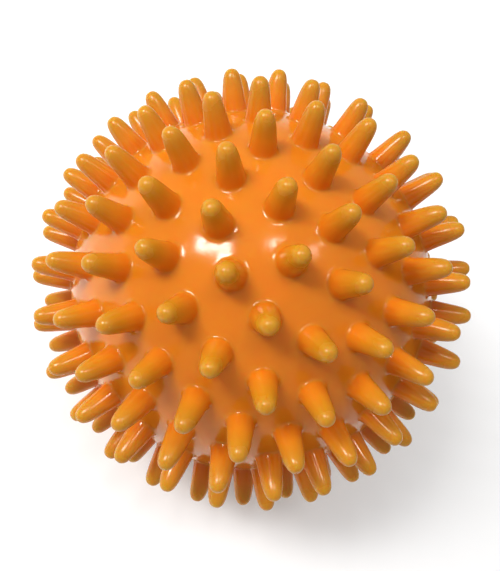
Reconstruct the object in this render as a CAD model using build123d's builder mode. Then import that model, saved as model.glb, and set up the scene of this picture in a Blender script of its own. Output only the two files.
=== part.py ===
"""Hollow spiky massage ball with a needle valve, standing on the six spikes around the valve."""

import os
from math import asin, atan2, cos, hypot, radians, sin, sqrt

from build123d import *

# Ball
overall_diameter = 90.0
spike_height = 7.7
skin_wall = 2.6

# Spikes
tip_radius = 1.75
foot_radius = 2.45
root_fillet = 0.5
collar_depth = 0.03  # how far under the ball's surface a spike's root ends
foot_sink = 1.2  # how far a spike runs on into the wall

# Rows of spikes from the top pole down to the parting line, which the lower half mirrors
spikes_in_row = (1, 6, 13, 18, 23, 26, 28)
row_turn = (0.0, -19.6, -0.9, 9.4, 8.1, 3.3, 0.0)
lower_half_turn = -1.0  # how far the lower mould half is turned from the upper one

# Valve housing, bonded into the wall at the bottom pole
housing_radius = 4.6
housing_length = 12.5
housing_recess = 0.3
housing_edge = 0.3
flange_radius = 9.0
flange_thickness = 1.5
air_hole_radius = 0.8

# Valve core, which pushes into the housing
stem_radius = 2.4
stem_length = 9.0
stem_edge = 0.5
head_radius = 3.6
head_thickness = 1.0
head_edge = 0.3
stem_clearance = 0.05  # all round
head_clearance = 0.1  # all round
end_clearance = 0.4  # past the stem's inner end

# Needle hole in the core, blind, with a funnel at its mouth
needle_hole_radius = 1.0
needle_hole_depth = 6.0
funnel_radius = 1.6
funnel_angle = 90.0

# Worked out from the sizes above
rows = 2 * len(spikes_in_row)
row_angle = 180.0 / (rows - 1)
surface_radius = overall_diameter / 2 - spike_height
cavity_radius = surface_radius - skin_wall
tip_centre_radius = overall_diameter / 2 - tip_radius
centre_height = tip_centre_radius * cos(radians(row_angle)) + tip_radius
mouth_height = centre_height - surface_radius + housing_recess
ball_centre = (0, 0, centre_height)
valve_mouth = Plane(origin=(0, 0, mouth_height), z_dir=(0, 0, -1))
hanging = (Align.CENTER, Align.CENTER, Align.MAX)
standing = (Align.CENTER, Align.CENTER, Align.MIN)


def spike_places():
    """One place per spike, at the ball's centre with Z along the spike. The bottom pole is the valve's."""
    places = []
    for row in range(rows - 1):
        in_lower_half = row >= rows // 2
        twin = rows - 1 - row if in_lower_half else row
        count = spikes_in_row[twin]
        first_turn = row_turn[twin] + (lower_half_turn if in_lower_half else 0.0)
        from_top = radians(row_angle * row)
        for number in range(count):
            turn = radians(first_turn + 360.0 * number / count)
            outward = (sin(from_top) * cos(turn), sin(from_top) * sin(turn), cos(from_top))
            places.append(Plane(origin=ball_centre, z_dir=outward).location)
    return places


# Spike: a cone that runs tangent into a round tip, and at its root into a collar just under the ball's surface
collar_radius = foot_radius + root_fillet
collar_height = sqrt(surface_radius**2 - collar_radius**2) - collar_depth
tip_above_collar = tip_centre_radius - collar_height
taper = atan2(foot_radius, tip_above_collar) - asin(tip_radius / hypot(foot_radius, tip_above_collar))
shoulder = (tip_radius * cos(taper), tip_centre_radius + tip_radius * sin(taper))
foot = (foot_radius, collar_height)
tip = (0, overall_diameter / 2)

with BuildPart() as spike:
    with BuildSketch(Plane.XZ) as half_profile:
        with BuildLine():
            side = Line(foot, shoulder)
            TangentArc(shoulder, tip, tangent=side % 1)
            Polyline(tip, (0, collar_height - foot_sink), (collar_radius, collar_height - foot_sink))
            Polyline((collar_radius, collar_height - foot_sink), (collar_radius, collar_height), foot)
        make_face()
        root_corner = half_profile.vertices().sort_by_distance(foot)[0]
        fillet(root_corner, root_fillet)
    revolve(axis=Axis.Z)

# Ball skin: the hollow ball and all its spikes, moulded in one
with BuildPart() as ball_skin:
    with Locations(ball_centre):
        Sphere(surface_radius)
    with Locations(*spike_places()):
        add(spike.part)
    with Locations(ball_centre):
        Sphere(cavity_radius, mode=Mode.SUBTRACT)
        Cylinder(housing_radius, overall_diameter / 2, align=hanging, mode=Mode.SUBTRACT)

# Valve housing: a cup through the wall, with a dished flange bonded to the inside of the wall
with BuildPart() as valve_housing:
    with Locations(ball_centre):
        Sphere(cavity_radius)
        Sphere(cavity_radius - flange_thickness, mode=Mode.SUBTRACT)
        Cylinder(flange_radius, cavity_radius, align=hanging, mode=Mode.INTERSECT)
    with Locations((0, 0, mouth_height)):
        Cylinder(housing_radius, housing_length, align=standing)
    with Locations(valve_mouth):
        CounterBoreHole(
            radius=stem_radius + stem_clearance,
            counter_bore_radius=head_radius + head_clearance,
            counter_bore_depth=head_thickness,
            depth=head_thickness + stem_length + end_clearance,
        )
        Hole(air_hole_radius, depth=housing_length)
    inner_rim = valve_housing.faces().sort_by(Axis.Z)[-1].outer_wire().edges()
    chamfer(inner_rim, housing_edge)

# Valve core: a soft plug with a head, and a blind hole that guides the needle to the closed slit
with BuildPart() as valve_core:
    with Locations((0, 0, mouth_height)):
        Cylinder(head_radius, head_thickness, align=standing)
    head_rim = valve_core.edges().group_by(Axis.Z)[0]
    fillet(head_rim, head_edge)
    with Locations((0, 0, mouth_height + head_thickness)):
        Cylinder(stem_radius, stem_length, align=standing)
    stem_rim = valve_core.edges().group_by(Axis.Z)[-1]
    chamfer(stem_rim, stem_edge)
    with Locations(valve_mouth):
        CounterSinkHole(
            radius=needle_hole_radius,
            counter_sink_radius=funnel_radius,
            counter_sink_angle=funnel_angle,
            depth=needle_hole_depth,
        )

ball_skin.part.label = "ball_skin"
ball_skin.part.color = Color("darkorange")
valve_housing.part.label = "valve_housing"
valve_housing.part.color = Color("orangered")
valve_core.part.label = "valve_core"
valve_core.part.color = Color("gray")

os.makedirs("parts", exist_ok=True)
export_step(ball_skin.part, "parts/ball_skin.step")
export_step(valve_housing.part, "parts/valve_housing.step")
export_step(valve_core.part, "parts/valve_core.step")
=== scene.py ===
import random
from math import asin, atan2, cos, hypot, pi, radians, sin, sqrt

import bmesh
import bpy
from mathutils import Matrix, Vector


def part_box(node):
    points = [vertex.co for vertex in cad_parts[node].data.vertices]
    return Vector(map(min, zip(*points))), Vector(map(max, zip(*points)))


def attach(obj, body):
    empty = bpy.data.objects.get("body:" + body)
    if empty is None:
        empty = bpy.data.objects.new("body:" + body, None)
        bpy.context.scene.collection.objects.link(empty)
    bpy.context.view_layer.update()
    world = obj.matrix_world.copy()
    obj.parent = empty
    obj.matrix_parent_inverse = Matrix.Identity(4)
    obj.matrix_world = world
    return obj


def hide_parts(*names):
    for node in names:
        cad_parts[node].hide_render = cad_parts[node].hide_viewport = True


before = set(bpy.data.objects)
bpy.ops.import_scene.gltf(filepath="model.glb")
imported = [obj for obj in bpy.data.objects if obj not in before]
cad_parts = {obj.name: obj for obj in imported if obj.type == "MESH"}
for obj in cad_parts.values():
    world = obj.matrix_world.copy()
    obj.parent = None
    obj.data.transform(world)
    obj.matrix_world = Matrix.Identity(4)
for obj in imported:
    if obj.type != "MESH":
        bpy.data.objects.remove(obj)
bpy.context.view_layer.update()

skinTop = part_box("ball_skin")[1].z

# lengths are in metres and angles in degrees
mergeDistance = 0.000004
hardAngle = 30  # edges of a turned piece that are sharper than this are rounded
noiseSpan = (0.3, 0.7)  # where nearly all of a noise texture's values are

ball = {
    "tipReach": 0.045,  # ball's centre to the end of a spike
    "spikeHeight": 0.0077,
    "wall": 0.0026,
    "longestEdge": 0.0028,  # between the spikes
    "evening": 8,  # rounds of smoothing between the spikes
    "innerSteps": 18,  # round the inside from the valve to the top pole
}

rows = {
    "counts": (1, 6, 13, 18, 23, 26, 28),  # top pole down to the parting line
    "turns": (0.0, -19.6, -0.9, 9.4, 8.1, 3.3, 0.0),
    "lowerTurn": -1.0,  # lower mould half against the upper one
}

spike = {
    "tipRadius": 0.00175,
    "footRadius": 0.00245,
    "rootFillet": 0.0005,
    "filletMiddle": (0.25, 0.22),  # out and up from the foot, as shares of the fillet
    "filletEnd": (-0.1, 1.1),
    "tipRings": (48, 76),  # how far up round the tip its rings are
    "sides": 10,
    "growth": 1.05,  # makes up for what the subdivision takes off a ten-sided ring
    "lean": 0.9,  # most that one spike leans out of true
    "leastLean": 0.2,  # as a share of the most
    "leanFrom": 0.0001,  # height above the ball's surface
    "standing": -0.95,  # a spike whose axis points further down than this is stood on
    "shortest": 0.985,
    "longest": 1.003,
    "seed": 7,
}

valveHole = {
    "radius": 0.0046,
    "sides": 48,
    "lip": 0.0002,  # width of the rounded edge outside
    "lipSteps": ((0.7, 0.3), (0.3, 0.7)),  # in and down, as shares of the lip
}

surfaceRadius = ball["tipReach"] - ball["spikeHeight"]
cavityRadius = surfaceRadius - ball["wall"]
ballCentre = Vector((0, 0, skinTop - ball["tipReach"]))
toCentre = Matrix.Translation(ballCentre)


def dropTo(sphereRadius, side):
    # how far below the ball's centre a sphere is, at a distance out from the axis
    return sqrt(sphereRadius**2 - side**2)


def finishPiece(bm, name, body, node, material):
    # a bmesh with its doubles merged becomes a smooth, closed piece that stands for a CAD node
    bmesh.ops.recalc_face_normals(bm, faces=bm.faces)
    openEdges = sum(len(edge.link_faces) != 2 for edge in bm.edges)
    print(name, len(bm.faces), "faces,", openEdges, "open edges")
    for face in bm.faces:
        face.smooth = True
    mesh = bpy.data.meshes.new(name)
    bm.to_mesh(mesh)
    bm.free()
    mesh.materials.append(material)
    piece = bpy.data.objects.new(name, mesh)
    bpy.context.scene.collection.objects.link(piece)
    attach(piece, body)
    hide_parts(node)
    return piece


def spikePlaces():
    # one matrix per spike, at the ball's centre with Z out along the spike, for every row but the valve's
    places = []
    rowCount = 2 * len(rows["counts"])
    for row in range(rowCount - 1):
        lower = row >= rowCount // 2
        twin = rowCount - 1 - row if lower else row
        firstTurn = rows["turns"][twin] + (rows["lowerTurn"] if lower else 0)
        for number in range(rows["counts"][twin]):
            turn = radians(firstTurn + 360 * number / rows["counts"][twin])
            tilt = pi * row / (rowCount - 1)
            places.append(toCentre @ Matrix.Rotation(turn, 4, "Z") @ Matrix.Rotation(tilt, 4, "Y"))
    return places


def spikeOutline():
    # radius and height above the ball's centre of each ring, from the root's outer edge to the tip
    foot = spike["footRadius"] * spike["growth"]
    tipRadius = spike["tipRadius"] * spike["growth"]
    fillet = spike["rootFillet"]
    tipCentre = ball["tipReach"] - spike["tipRadius"]
    footHeight = dropTo(surfaceRadius, foot)
    rise = tipCentre - footHeight
    taper = atan2(foot, rise) - asin(tipRadius / hypot(foot, rise))
    root = (foot + fillet, dropTo(surfaceRadius, foot + fillet))
    filletMiddle, coneFoot = (
        (foot + outward * fillet, footHeight + upward * fillet)
        for outward, upward in (spike["filletMiddle"], spike["filletEnd"])
    )
    shoulder = (tipRadius * cos(taper), tipCentre + tipRadius * sin(taper))
    coneMiddle = ((coneFoot[0] + shoulder[0]) / 2, (coneFoot[1] + shoulder[1]) / 2)
    outline = [root, filletMiddle, coneFoot, coneMiddle, shoulder]
    for ring in spike["tipRings"]:
        angle = radians(ring)
        outline.append((tipRadius * cos(angle), tipCentre + spike["tipRadius"] * sin(angle)))
    return outline


def layCap(bm, place, radius, height, sides):
    # a flat many-sided face across the end of a spike's root, or of the valve's hole
    spot = place @ Matrix.Translation((0, 0, height))
    bmesh.ops.create_circle(bm, cap_ends=True, radius=radius, segments=sides, matrix=spot)


def wrapBall(bm):
    # the caps are joined by the tightest skin round them, whose wide faces are then cut up and pressed
    # out to the ball's surface
    bmesh.ops.convex_hull(bm, input=bm.verts, use_existing_faces=True)
    between = [edge for edge in bm.edges if all(len(face.verts) == 3 for face in edge.link_faces)]
    long = [edge for edge in between if edge.calc_length() > ball["longestEdge"]]
    bmesh.ops.subdivide_edges(bm, edges=long, cuts=1)
    cut = [face for face in bm.faces if 3 < len(face.verts) < spike["sides"]]
    bmesh.ops.triangulate(bm, faces=cut)
    for _ in range(ball["evening"]):
        loose = [vert for vert in bm.verts if all(len(face.verts) == 3 for face in vert.link_faces)]
        bmesh.ops.smooth_vert(
            bm, verts=loose, factor=0.5, use_axis_x=True, use_axis_y=True, use_axis_z=True
        )
        for vert in loose:
            vert.co = ballCentre + surfaceRadius * (vert.co - ballCentre).normalized()
        small = [face for face in bm.faces if len(face.verts) == 3]
        inner = [edge for edge in bm.edges if all(len(face.verts) == 3 for face in edge.link_faces)]
        bmesh.ops.beautify_fill(bm, faces=small, edges=inner)


def raiseSpikes(bm):
    # each step insets all the caps at once and lifts them to the outline's next ring
    caps = [face for face in bm.faces if len(face.verts) == spike["sides"]]
    flatWidth = cos(pi / spike["sides"])
    outline = spikeOutline()
    for (wide, low), (narrow, high) in zip(outline, outline[1:]):
        inset = (wide - narrow) * flatWidth
        bmesh.ops.inset_individual(bm, faces=caps, thickness=inset, depth=high - low, use_even_offset=True)


def leanSpikes(bm, places):
    # moulded spikes come out a little bent and uneven, all but the six that the ball stands on, and the
    # bend grows with the square of the height
    chance = random.Random(spike["seed"])
    axes = [place.to_3x3() @ Vector((0, 0, 1)) for place in places]
    owned = [[] for _ in axes]
    for vert in bm.verts:
        outward = vert.co - ballCentre
        if outward.length > surfaceRadius + spike["leanFrom"]:
            owned[max(range(len(axes)), key=lambda number: axes[number].dot(outward))].append(vert)
    for axis, verts in zip(axes, owned):
        stretch = chance.uniform(spike["shortest"], spike["longest"])
        lean = radians(spike["lean"] * chance.uniform(spike["leastLean"], 1.0))
        bend = sin(lean) * ball["spikeHeight"] * 2
        side = Matrix.Rotation(chance.uniform(0, 2 * pi), 3, axis) @ axis.orthogonal().normalized()
        if axis.z < spike["standing"]:
            continue
        for vert in verts:
            height = max((vert.co - ballCentre).dot(axis) - surfaceRadius, 0)
            vert.co += side * bend * (height / ball["spikeHeight"]) ** 2 + axis * (stretch - 1) * height


def hollowOut(bm):
    # the valve's hole goes in through the wall from a rounded lip, and the inner face is an arc spun round
    # the axis from the hole's inner edge
    radius = valveHole["radius"]
    lip = valveHole["lip"]
    hole = next(face for face in bm.faces if len(face.verts) == valveHole["sides"])
    depth = dropTo(surfaceRadius, radius + lip) - dropTo(cavityRadius, radius)
    steps = [(inward * lip, down * lip) for inward, down in valveHole["lipSteps"]]
    steps += [(0, lip), (0, depth - 3 * lip), (0, lip)]
    for inset, push in steps:
        thickness = inset * cos(pi / valveHole["sides"])
        bmesh.ops.inset_individual(bm, faces=[hole], thickness=thickness, depth=-push, use_even_offset=True)
    bmesh.ops.delete(bm, geom=[hole], context="FACES_ONLY")
    rimAngle = asin(radius / cavityRadius)
    arc = []
    for step in range(ball["innerSteps"] + 1):
        angle = rimAngle + (pi - rimAngle) * step / ball["innerSteps"]
        arc.append(bm.verts.new(ballCentre + cavityRadius * Vector((sin(angle), 0, -cos(angle)))))
    spinRound(bm, arc, valveHole["sides"])


def spinRound(bm, line, sides):
    # spins a line of vertices once round the mould axis and merges what meets
    edges = [bm.edges.new(pair) for pair in zip(line, line[1:])]
    bmesh.ops.spin(
        bm, geom=line + edges, cent=ballCentre, axis=(0, 0, 1), angle=2 * pi, steps=sides, use_merge=True
    )
    bmesh.ops.remove_doubles(bm, verts=bm.verts, dist=mergeDistance)


def makeSkin(material):
    places = spikePlaces()
    rootRadius, rootHeight = spikeOutline()[0]
    mouthRadius = valveHole["radius"] + valveHole["lip"]
    bm = bmesh.new()
    for place in places:
        layCap(bm, place, rootRadius, rootHeight, spike["sides"])
    downward = toCentre @ Matrix.Rotation(pi, 4, "X")
    layCap(bm, downward, mouthRadius, dropTo(surfaceRadius, mouthRadius), valveHole["sides"])
    wrapBall(bm)
    print("ball wrapped round", len(places), "spike roots")
    raiseSpikes(bm)
    leanSpikes(bm, places)
    hollowOut(bm)
    skin = finishPiece(bm, "ballSkin", "ball", "ball_skin", material)
    finer = skin.modifiers.new("finer", "SUBSURF")
    finer.levels = 1
    finer.render_levels = 1


housing = {
    "radius": 0.0046,
    "length": 0.0125,
    "recess": 0.0003,  # below the ball's surface
    "innerEdge": 0.0003,
    "flangeRadius": 0.009,
    "flangeThickness": 0.0015,
    "boreRadius": 0.00245,
    "boreDepth": 0.0104,
    "headBoreRadius": 0.0037,
    "headBoreDepth": 0.001,
    "airHoleRadius": 0.0008,
    "softEdge": 0.00012,
    "sides": 48,
    "flangeSteps": 4,  # from the cup out to the flange's rim
}

mouthHeight = ballCentre.z - surfaceRadius + housing["recess"]


def dishedLine(sphereRadius, fromSide, toSide):
    # points along a face of the flange, which follows the inside of the ball
    steps = housing["flangeSteps"]
    sides = [fromSide + (toSide - fromSide) * step / steps for step in range(steps + 1)]
    return [(side, ballCentre.z - dropTo(sphereRadius, side)) for side in sides]


def spinPiece(outline, sides, softEdge):
    # a piece turned from its half outline of (radius, height) points, with every hard edge rounded
    bm = bmesh.new()
    line = [bm.verts.new((side, 0, height)) for side, height in outline]
    spinRound(bm, line, sides)
    hard = [edge for edge in bm.edges if edge.calc_face_angle(0) > radians(hardAngle)]
    bmesh.ops.bevel(
        bm,
        geom=hard,
        offset=softEdge,
        segments=2,
        profile=0.5,
        affect="EDGES",
        material=-1,
        clamp_overlap=True,
    )
    return bm


def makeHousing(material):
    top = mouthHeight + housing["length"]
    boreEnd = mouthHeight + housing["boreDepth"]
    headBoreEnd = mouthHeight + housing["headBoreDepth"]
    outline = [(housing["headBoreRadius"], mouthHeight), (housing["radius"], mouthHeight)]
    outline += dishedLine(cavityRadius, housing["radius"], housing["flangeRadius"])
    innerFace = cavityRadius - housing["flangeThickness"]
    outline += dishedLine(innerFace, housing["flangeRadius"], housing["radius"])
    outline += [(housing["radius"], top - housing["innerEdge"])]
    outline += [(housing["radius"] - housing["innerEdge"], top)]
    outline += [(housing["airHoleRadius"], top), (housing["airHoleRadius"], boreEnd)]
    outline += [(housing["boreRadius"], boreEnd), (housing["boreRadius"], headBoreEnd)]
    outline += [(housing["headBoreRadius"], headBoreEnd), (housing["headBoreRadius"], mouthHeight)]
    bm = spinPiece(outline, housing["sides"], housing["softEdge"])
    piece = finishPiece(bm, "valveHousing", "ball", "valve_housing", material)
    piece.modifiers.new("evenShading", "WEIGHTED_NORMAL")


core = {
    "stemRadius": 0.0024,
    "stemLength": 0.009,
    "stemEdge": 0.0005,
    "headRadius": 0.0036,
    "headThickness": 0.001,
    "headEdge": 0.0003,
    "headEdgeSteps": 3,
    "needleHoleRadius": 0.001,
    "needleHoleDepth": 0.006,
    "funnelRadius": 0.0016,
    "softEdge": 0.00008,
    "sides": 48,
}


def makeCore(material):
    headTop = mouthHeight + core["headThickness"]
    stemTop = headTop + core["stemLength"]
    funnelEnd = mouthHeight + core["funnelRadius"] - core["needleHoleRadius"]
    outline = [(0, mouthHeight + core["needleHoleDepth"])]
    outline += [(core["needleHoleRadius"], mouthHeight + core["needleHoleDepth"])]
    outline += [(core["needleHoleRadius"], funnelEnd), (core["funnelRadius"], mouthHeight)]
    for step in range(core["headEdgeSteps"] + 1):
        angle = pi / 2 * step / core["headEdgeSteps"]
        inward = core["headRadius"] - core["headEdge"] * (1 - sin(angle))
        outline.append((inward, mouthHeight + core["headEdge"] * (1 - cos(angle))))
    outline += [(core["headRadius"], headTop), (core["stemRadius"], headTop)]
    outline += [(core["stemRadius"], stemTop - core["stemEdge"])]
    outline += [(core["stemRadius"] - core["stemEdge"], stemTop), (0, stemTop)]
    bm = spinPiece(outline, core["sides"], core["softEdge"])
    piece = finishPiece(bm, "valveCore", "core", "valve_core", material)
    piece.modifiers.new("evenShading", "WEIGHTED_NORMAL")


pvc = {
    # height above the ball's surface as a share of a spike's, and the colour there, with painted shade as a
    # deeper red at the roots and painted light as a yellower tint at the tips
    "rootShadeTipLight": (
        (0.0, (0.60, 0.205, 0.013)),
        (0.08, (0.62, 0.195, 0.013)),
        (0.4, (0.60, 0.235, 0.018)),
        (0.8, (0.49, 0.24, 0.017)),
        (1.0, (0.45, 0.24, 0.017)),
    ),
    "drift": 0.10,  # how unevenly the colours change along a spike
    "mottle": 0.05,  # how much the colour's brightness varies
    "roughness": (0.11, 0.18),
    "tipRoughness": 0.14,  # how much duller a spike's tip is
    "dulling": (0.1, 0.9),  # where along a spike it gets duller
    "ripple": 0.00004,  # height of the slow waves in the surface
    "grain": 0.000006,  # height of the fine unevenness
    "seamWidth": 0.0002,
    "seamHeight": 0.00003,
    # each noise is a scale and a detail
    "driftNoise": (180, 2),
    "mottleNoise": (60, 4),
    "sheenNoise": (260, 3),
    "rippleNoise": (110, 1),
    "grainNoise": (1400, 2),
    "refraction": 1.5,
    "gloss": 0.4,
    "seeThrough": 0.9,
    "scatter": (1.0, 0.3, 0.06),  # how far red, green and blue light spread inside
    "scatterDepth": 0.003,
}


def newMaterial(name):
    material = bpy.data.materials.new(name)
    material.use_nodes = True
    return material, material.node_tree.nodes, material.node_tree.links


def addNoise(nodes, links, place, kind):
    scale, detail = kind
    noise = nodes.new("ShaderNodeTexNoise")
    noise.inputs["Scale"].default_value = scale
    noise.inputs["Detail"].default_value = detail
    links.new(place, noise.inputs["Vector"])
    return noise.outputs["Fac"]


def addRange(nodes, links, value, fromSpan, toSpan):
    span = nodes.new("ShaderNodeMapRange")
    links.new(value, span.inputs["Value"])
    span.inputs["From Min"].default_value = fromSpan[0]
    span.inputs["From Max"].default_value = fromSpan[1]
    span.inputs["To Min"].default_value = toSpan[0]
    span.inputs["To Max"].default_value = toSpan[1]
    return span.outputs["Result"]


def addSum(nodes, links, first, second):
    add = nodes.new("ShaderNodeMath")
    add.operation = "ADD"
    links.new(first, add.inputs[0])
    links.new(second, add.inputs[1])
    return add.outputs["Value"]


def addBump(nodes, links, height, distance, before=None):
    bump = nodes.new("ShaderNodeBump")
    bump.inputs["Strength"].default_value = 1.0
    bump.inputs["Distance"].default_value = distance
    links.new(height, bump.inputs["Height"])
    if before:
        links.new(before, bump.inputs["Normal"])
    return bump.outputs["Normal"]


def fromCentre(nodes, links):
    # object coordinates with the ball's centre at zero
    coordinates = nodes.new("ShaderNodeTexCoord")
    centred = nodes.new("ShaderNodeMapping")
    centred.inputs["Location"].default_value = -ballCentre
    links.new(coordinates.outputs["Object"], centred.inputs["Vector"])
    return centred.outputs["Vector"]


def makeSkinPvc():
    # soft PVC, with painted shade making it deeper in colour at the spike roots and painted light shining
    # through the thin tips making it yellower towards them
    material, nodes, links = newMaterial("skinPvc")
    shader = nodes["Principled BSDF"]
    place = fromCentre(nodes, links)

    reach = nodes.new("ShaderNodeVectorMath")
    reach.operation = "LENGTH"
    links.new(place, reach.inputs[0])
    share = addRange(nodes, links, reach.outputs["Value"], (surfaceRadius, ball["tipReach"]), (0, 1))
    uneven = addNoise(nodes, links, place, pvc["driftNoise"])
    drift = addRange(nodes, links, uneven, noiseSpan, (-pvc["drift"] / 2, pvc["drift"] / 2))
    # this ramp paints shade as a deeper red at the spike roots and paints light through the tips as a
    # yellower tint
    ramp = nodes.new("ShaderNodeValToRGB")
    stops = ramp.color_ramp.elements
    stops[0].color = (*pvc["rootShadeTipLight"][0][1], 1)
    stops[1].color = (*pvc["rootShadeTipLight"][-1][1], 1)
    for position, colour in pvc["rootShadeTipLight"][1:-1]:
        stops.new(position).color = (*colour, 1)
    links.new(addSum(nodes, links, share, drift), ramp.inputs["Fac"])
    mottle = nodes.new("ShaderNodeHueSaturation")
    cloud = addNoise(nodes, links, place, pvc["mottleNoise"])
    brightness = addRange(nodes, links, cloud, noiseSpan, (1 - pvc["mottle"], 1 + pvc["mottle"]))
    links.new(brightness, mottle.inputs["Value"])
    links.new(ramp.outputs["Color"], mottle.inputs["Color"])
    links.new(mottle.outputs["Color"], shader.inputs["Base Color"])

    patches = addNoise(nodes, links, place, pvc["sheenNoise"])
    sheen = addRange(nodes, links, patches, noiseSpan, pvc["roughness"])
    dulling = addRange(nodes, links, share, pvc["dulling"], (0, pvc["tipRoughness"]))
    links.new(addSum(nodes, links, sheen, dulling), shader.inputs["Roughness"])

    # slow waves, then a fine grain, then the hairline ridge where the mould's halves met
    waves = addBump(nodes, links, addNoise(nodes, links, place, pvc["rippleNoise"]), pvc["ripple"])
    grain = addBump(nodes, links, addNoise(nodes, links, place, pvc["grainNoise"]), pvc["grain"], waves)
    along = nodes.new("ShaderNodeSeparateXYZ")
    links.new(place, along.inputs["Vector"])
    offSeam = nodes.new("ShaderNodeMath")
    offSeam.operation = "ABSOLUTE"
    links.new(along.outputs["Z"], offSeam.inputs[0])
    ridge = addRange(nodes, links, offSeam.outputs["Value"], (0, pvc["seamWidth"]), (1, 0))
    links.new(addBump(nodes, links, ridge, pvc["seamHeight"], grain), shader.inputs["Normal"])

    shader.inputs["IOR"].default_value = pvc["refraction"]
    shader.inputs["Specular IOR Level"].default_value = pvc["gloss"]
    shader.inputs["Subsurface Weight"].default_value = pvc["seeThrough"]
    shader.inputs["Subsurface Radius"].default_value = pvc["scatter"]
    shader.inputs["Subsurface Scale"].default_value = pvc["scatterDepth"]
    return material


housingPvc = {
    "name": "housingPvc",
    "colour": (0.62, 0.16, 0.012),
    "darkest": 0.85,  # as a share of the colour
    "roughness": (0.34, 0.46),
    "cloudNoise": (500, 3),
    "speckleNoise": (3000, 4),
    "grain": 0.00001,
    "refraction": 1.5,
}

plugRubber = {
    "name": "plugRubber",
    "colour": (0.045, 0.042, 0.04),
    "darkest": 0.6,
    "roughness": (0.6, 0.78),
    "cloudNoise": (700, 3),
    "speckleNoise": (4200, 4),
    "grain": 0.00002,
    "refraction": 1.5,
}


def makePlain(finish):
    # a moulded finish with a cloudy colour and a fine grain, for the valve's two pieces
    material, nodes, links = newMaterial(finish["name"])
    shader = nodes["Principled BSDF"]
    place = fromCentre(nodes, links)
    ramp = nodes.new("ShaderNodeValToRGB")
    shades = ramp.color_ramp.elements
    shades[0].position, shades[1].position = noiseSpan
    shades[0].color = (*(part * finish["darkest"] for part in finish["colour"]), 1)
    shades[1].color = (*finish["colour"], 1)
    links.new(addNoise(nodes, links, place, finish["cloudNoise"]), ramp.inputs["Fac"])
    links.new(ramp.outputs["Color"], shader.inputs["Base Color"])
    speckle = addNoise(nodes, links, place, finish["speckleNoise"])
    links.new(addRange(nodes, links, speckle, noiseSpan, finish["roughness"]), shader.inputs["Roughness"])
    links.new(addBump(nodes, links, speckle, finish["grain"]), shader.inputs["Normal"])
    shader.inputs["IOR"].default_value = finish["refraction"]
    return material


makeSkin(makeSkinPvc())
makeHousing(makePlain(housingPvc))
makeCore(makePlain(plugRubber))

view = {
    "azimuth": 38.97,
    "elevation": 64.62,
    "roll": -52.62,
    "distance": 0.12143,
    "nearest": 0.005,
    "lens": 35.19,  # this and the sensor are in millimetres
    "sensor": 36,
    "aimRight": -0.00023,
    "aimUp": 0.0007,
}

# a lamp's place is to the right, up and back from the ball's centre as the camera sees them, its size is
# wide and tall, and a lamp that isn't mirrored lights the ball but doesn't show in its gloss
lamps = {
    "bigSoftbox": {"place": (-0.20, 0.45, 0.60), "size": (0.60, 0.40), "power": 1.75, "mirrored": False},
    "leftWindow": {"place": (-0.165, 0.205, 0.41), "size": (0.16, 0.075), "power": 1.2, "mirrored": True},
    "middleWindow": {"place": (0.115, 0.195, 0.43), "size": (0.085, 0.05), "power": 0.34, "mirrored": True},
    "rightWindow": {"place": (0.265, 0.165, 0.37), "size": (0.05, 0.045), "power": 0.06, "mirrored": True},
}

studio = {
    "air": 0.44,  # light that comes from all round
    "floor": 0.95,  # its brightness
    "floorRoughness": 0.8,
    "floorReach": 3,  # from its middle to its sides
}


def viewAxes():
    turn = radians(view["azimuth"])
    rise = radians(view["elevation"])
    back = Vector((cos(rise) * cos(turn), cos(rise) * sin(turn), sin(rise)))
    level = Vector((0, 0, 1)).cross(back).normalized()
    up = Matrix.Rotation(-radians(view["roll"]), 3, back) @ back.cross(level)
    return up.cross(back).normalized(), up.normalized(), back


def addCamera():
    right, up, back = viewAxes()
    camera = bpy.data.objects.new("camera", bpy.data.cameras.new("camera"))
    bpy.context.scene.collection.objects.link(camera)
    camera.data.lens = view["lens"]
    camera.data.sensor_width = view["sensor"]
    camera.data.clip_start = view["nearest"]
    aim = ballCentre + right * view["aimRight"] + up * view["aimUp"]
    stand = Matrix((right, up, back)).transposed().to_4x4()
    stand.translation = aim + back * view["distance"]
    camera.matrix_world = stand
    bpy.context.scene.camera = camera


def addLamps():
    right, up, back = viewAxes()
    for name, lamp in lamps.items():
        light = bpy.data.lights.new(name, "AREA")
        light.shape = "RECTANGLE"
        light.size, light.size_y = lamp["size"]
        light.energy = lamp["power"]
        post = bpy.data.objects.new(name, light)
        post.visible_glossy = lamp["mirrored"]
        bpy.context.scene.collection.objects.link(post)
        across, above, away = lamp["place"]
        spot = ballCentre + right * across + up * above + back * away
        facing = (spot - ballCentre).normalized()
        level = up.cross(facing).normalized()
        stand = Matrix((level, facing.cross(level), facing)).transposed().to_4x4()
        stand.translation = spot
        post.matrix_world = stand
    world = bpy.data.worlds.new("studio")
    world.use_nodes = True
    world.node_tree.nodes["Background"].inputs["Color"].default_value = (1, 1, 1, 1)
    world.node_tree.nodes["Background"].inputs["Strength"].default_value = studio["air"]
    bpy.context.scene.world = world


def addFloor():
    bm = bmesh.new()
    bmesh.ops.create_grid(bm, x_segments=1, y_segments=1, size=studio["floorReach"])
    mesh = bpy.data.meshes.new("floor")
    bm.to_mesh(mesh)
    bm.free()
    floor = bpy.data.objects.new("floor", mesh)
    bpy.context.scene.collection.objects.link(floor)
    paper, nodes, _ = newMaterial("paper")
    nodes["Principled BSDF"].inputs["Base Color"].default_value = (studio["floor"],) * 3 + (1,)
    nodes["Principled BSDF"].inputs["Roughness"].default_value = studio["floorRoughness"]
    mesh.materials.append(paper)


addCamera()
addLamps()
addFloor()
print("camera, lamps and floor in place")
bpy.context.scene.view_settings.view_transform = "Standard"
bpy.context.scene.view_settings.look = "Medium High Contrast"
